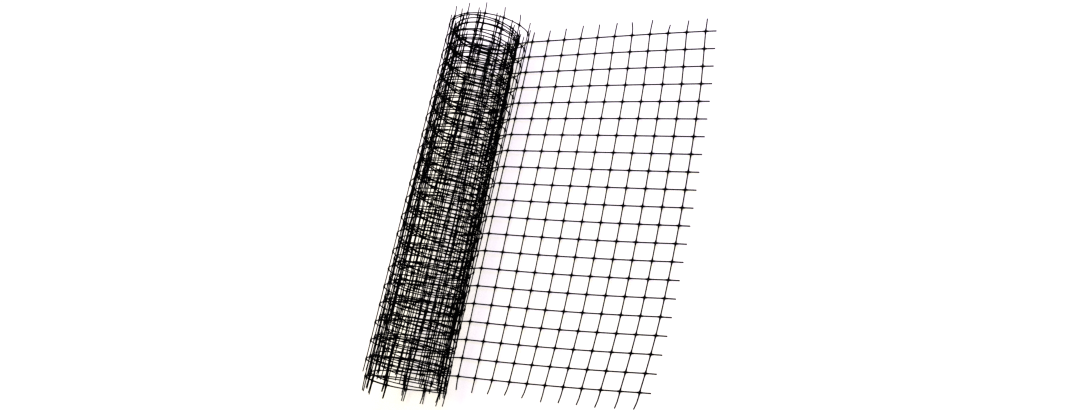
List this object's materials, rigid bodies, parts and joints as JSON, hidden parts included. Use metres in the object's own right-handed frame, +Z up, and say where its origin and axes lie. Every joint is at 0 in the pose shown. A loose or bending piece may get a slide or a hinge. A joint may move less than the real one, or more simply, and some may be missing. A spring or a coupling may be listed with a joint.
{
  "type": "roll of deck netting",
  "caption": "Square-mesh plastic deck netting wound into an open roll, with its loose end lying flat beside it and cut strand stubs at the edges.",
  "frame": {"origin": "on the floor, at the middle of the part's box seen from above", "axes": "+Y along the roll towards its far end, +X from the roll towards the free edge of the loose end, +Z up"},
  "size_m": [0.2928, 0.4315, 0.0872],
  "materials": {
    "netting_plastic": "black extruded plastic, satin"
  },
  "bodies": {
    "root": {"wound_roll": "netting_plastic", "loose_end": "netting_plastic"}
  },
  "joints": []
}
